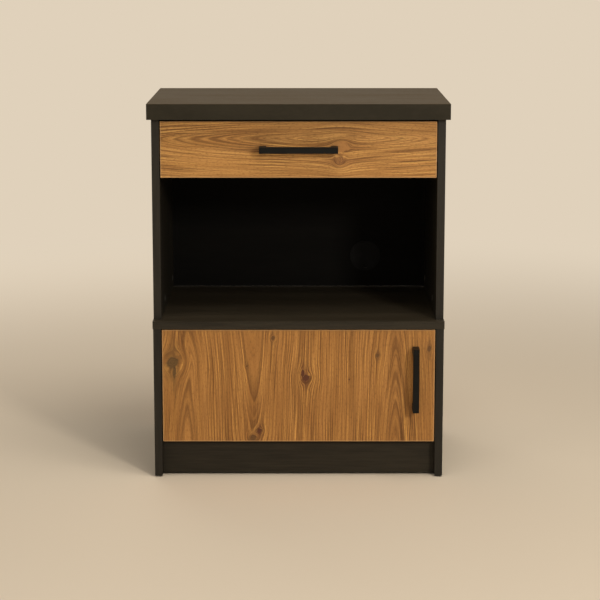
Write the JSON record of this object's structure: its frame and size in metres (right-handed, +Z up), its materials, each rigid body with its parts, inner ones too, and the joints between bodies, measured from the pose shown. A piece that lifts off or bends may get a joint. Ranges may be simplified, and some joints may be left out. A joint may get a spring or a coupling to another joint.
{
  "type": "microwave cabinet",
  "caption": "Free-standing kitchen cabinet with an inset door below, an open niche for a microwave oven, an inset drawer above it and a thick top board, on a recessed plinth.",
  "frame": {"origin": "on the floor, in the middle of the cabinet's bounding box, door handle included", "axes": "+X to the right seen from the front, +Y to the back, +Z up"},
  "size_m": [0.616, 0.432, 0.78],
  "materials": {
    "carcass_board": "dark anthracite melamine, matt, fine wood-pore print",
    "top_board": "dark anthracite laminate, matt, faintly mottled",
    "front_board_across": "knotty honey-brown wood, grain across, satin",
    "front_board_upright": "knotty honey-brown wood, grain upright, satin",
    "drawer_board": "dark melamine, matt",
    "hardboard": "hardboard, faced with the carcass colour inside and bare brown behind",
    "beech": "fluted beech dowel",
    "black_metal": "black powder coat, satin",
    "enamelled_steel": "cream epoxy coat, satin",
    "nickel_steel": "bright nickel plate",
    "zinc_steel": "zinc plate",
    "nylon": "natural white nylon",
    "black_plastic": "black moulded plastic",
    "felt": "dark grey felt"
  },
  "bodies": {
    "carcass": {"base_side_left": "carcass_board", "base_side_right": "carcass_board", "base_bottom": "carcass_board", "plinth_board": "carcass_board", "rear_rail": "carcass_board", "deck_board": "carcass_board", "upper_side_left": "carcass_board", "upper_side_right": "carcass_board", "drawer_divider": "carcass_board", "top_board": "top_board", "base_back_panel": "hardboard", "upper_back_panel": "hardboard", "back_nails": "zinc_steel", "cable_grommet": "black_plastic", "grommet_cap": "black_plastic", "floor_glides": "black_plastic", "wood_dowels": "beech", "cam_bolts": "zinc_steel", "cam_locks": "zinc_steel", "felt_buffers": "felt", "door_stops": "black_plastic", "hinge_plates": "nickel_steel", "hinge_arms": "nickel_steel", "hinge_plate_screws": "zinc_steel", "hinge_adjusters": "zinc_steel", "cabinet_rail_left": "enamelled_steel", "cabinet_rail_right": "enamelled_steel", "cabinet_rail_screws": "zinc_steel"},
    "drawer": {"drawer_front": "front_board_across", "drawer_side_left": "drawer_board", "drawer_side_right": "drawer_board", "drawer_back": "drawer_board", "drawer_bottom": "hardboard", "drawer_handle": "black_metal", "drawer_handle_screws": "zinc_steel", "drawer_rail_left": "enamelled_steel", "drawer_rail_right": "enamelled_steel", "drawer_rail_screws": "zinc_steel", "drawer_dowels": "beech", "drawer_cam_bolts": "zinc_steel", "drawer_cam_locks": "zinc_steel", "drawer_back_screws": "zinc_steel"},
    "door": {"door_panel": "front_board_upright", "door_handle": "black_metal", "door_handle_screws": "zinc_steel", "hinge_cups": "nickel_steel", "hinge_pins": "zinc_steel", "hinge_cup_screws": "zinc_steel"},
    "front_rollers": {"front_rollers": "nylon"},
    "rear_rollers": {"rear_rollers": "nylon"}
  },
  "joints": [
    {"name": "drawer_slide", "type": "slide", "parent": "carcass", "child": "drawer", "axis": [0, -1, 0], "range_m": [0, 0.26]},
    {"name": "door_swing", "type": "hinge", "parent": "carcass", "child": "door", "pos_m": [-0.2595, -0.175, 0.1955], "axis": [0, 0, -1], "range_deg": [0, 95]},
    {"name": "front_roller_spin", "type": "hinge", "parent": "carcass", "child": "front_rollers", "pos_m": [0, -0.136, 0.6685], "axis": [1, 0, 0], "range_deg": [0, 1800]},
    {"name": "rear_roller_spin", "type": "hinge", "parent": "drawer", "child": "rear_rollers", "pos_m": [0, 0.188, 0.6683], "axis": [1, 0, 0], "range_deg": [0, 1800]}
  ],
  "couplings": [
    {"joint": "front_roller_spin", "follows": "drawer_slide", "rad_per_m": 120.48},
    {"joint": "rear_roller_spin", "follows": "drawer_slide", "rad_per_m": 120.48}
  ]
}
